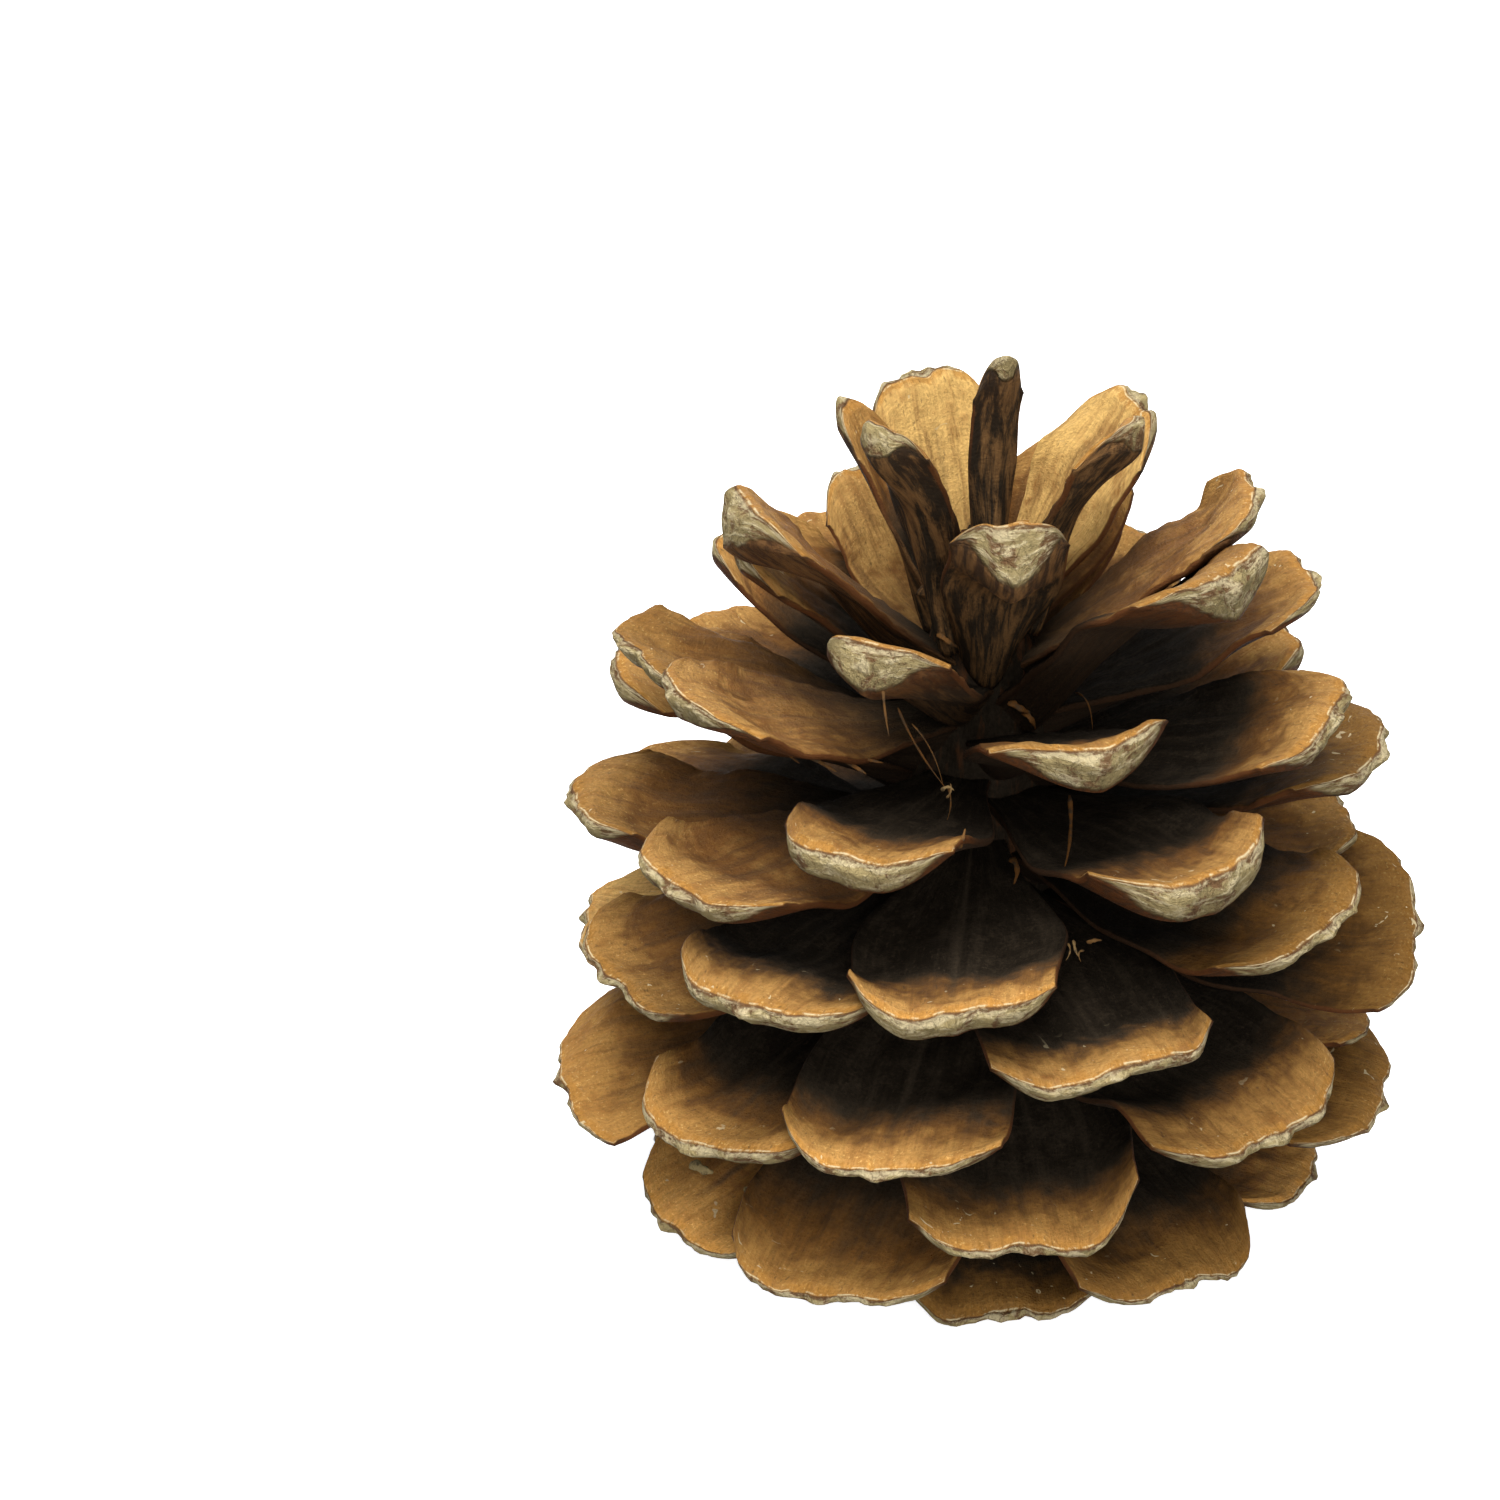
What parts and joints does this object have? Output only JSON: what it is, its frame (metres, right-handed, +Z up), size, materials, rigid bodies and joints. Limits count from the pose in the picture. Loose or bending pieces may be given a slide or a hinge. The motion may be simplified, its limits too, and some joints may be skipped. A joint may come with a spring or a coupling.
{
  "type": "pine cone",
  "caption": "Open woody pine cone with overlapping fan-shaped scales on a spiral, standing upright on its lowest scale tips as a small natural decoration.",
  "frame": {"origin": "under the middle of the cone, on the flat surface that its lowest scale tips stand on", "axes": "+Z up along the cone's woody axis, from its base to its pointed end; -Y towards the camera of the picture; +X to the right in the picture"},
  "size_m": [0.0709, 0.0696, 0.0765],
  "materials": {
    "cone_wood": "dry weathered scale wood, golden brown above, darker beneath, with pale grey outer faces"
  },
  "bodies": {
    "root": {"pine_cone": "cone_wood"}
  },
  "joints": []
}
